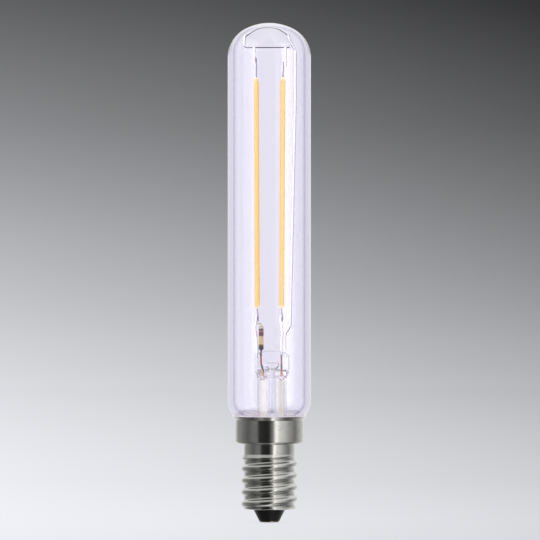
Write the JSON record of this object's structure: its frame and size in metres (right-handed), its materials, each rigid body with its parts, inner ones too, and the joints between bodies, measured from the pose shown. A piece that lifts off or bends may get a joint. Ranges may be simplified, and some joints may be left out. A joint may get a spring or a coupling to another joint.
{
  "type": "led filament tube bulb",
  "caption": "Clear tubular lamp bulb with yellow LED filaments on a glass stem, wire supports, a nickel screw cap, a black insulator and a centre contact.",
  "frame": {"origin": "centre of the centre contact's underside", "axes": "+Z along the lamp's axis from the contact to the dome, -Y toward the viewer, so that the blow hole in the stem faces away"},
  "size_m": [0.02, 0.02, 0.12],
  "materials": {
    "clear_glass": "clear glass",
    "stem_glass": "clear lead-free stem glass",
    "cap_nickel": "bright nickel-plated sheet",
    "nickel_wire": "drawn nickel wire",
    "pin_steel": "dark plated steel pin",
    "phosphor": "yellow phosphor in clear silicone",
    "white_ceramic": "white ceramic strip",
    "led_die": "bare die, bluish",
    "seal_wire": "oxidised seal wire, red-brown",
    "copper": "bare copper",
    "lead_sleeve": "cream sleeve",
    "resistor_body": "gold-brown lacquer with bands",
    "insulator_black": "black glassy insulator",
    "contact_metal": "plated contact",
    "solder": "solder",
    "cement": "set cement",
    "board_green": "glass-fibre board with solder mask",
    "liner_film": "insulating sleeve",
    "chip_black": "moulded chip body",
    "chip_resistor": "chip resistor",
    "capacitor_sleeve": "dark sleeve",
    "fuse_body": "green-grey lacquer"
  },
  "bodies": {
    "root": {"glass_envelope": "clear_glass", "stem_glass": "stem_glass", "exhaust_tube": "stem_glass", "cap_shell": "cap_nickel", "insulator": "insulator_black", "centre_contact": "contact_metal", "contact_solder": "solder", "basing_cement": "cement", "support_wire": "nickel_wire", "left_hanger": "nickel_wire", "right_hanger": "nickel_wire", "left_post_wire": "nickel_wire", "right_lead_wire": "nickel_wire", "series_resistor": "resistor_body", "left_seal_wire": "seal_wire", "right_seal_wire": "seal_wire", "left_copper_lead": "copper", "right_copper_lead": "copper", "left_lead_sleeve": "lead_sleeve", "right_lead_sleeve": "lead_sleeve", "left_top_pin": "pin_steel", "right_top_pin": "pin_steel", "left_bottom_pin": "pin_steel", "right_bottom_pin": "pin_steel", "left_led_strip": "white_ceramic", "right_led_strip": "white_ceramic", "left_led_chips": "led_die", "right_led_chips": "led_die", "left_filament": "phosphor", "right_filament": "phosphor", "driver_board": "board_green", "board_liner": "liner_film", "bridge_rectifier": "chip_black", "driver_chip": "chip_black", "small_chips": "chip_resistor", "smoothing_capacitor": "capacitor_sleeve", "fuse_resistor": "fuse_body", "shell_wire": "copper", "shell_solder": "solder", "board_solder": "solder"}
  },
  "joints": []
}
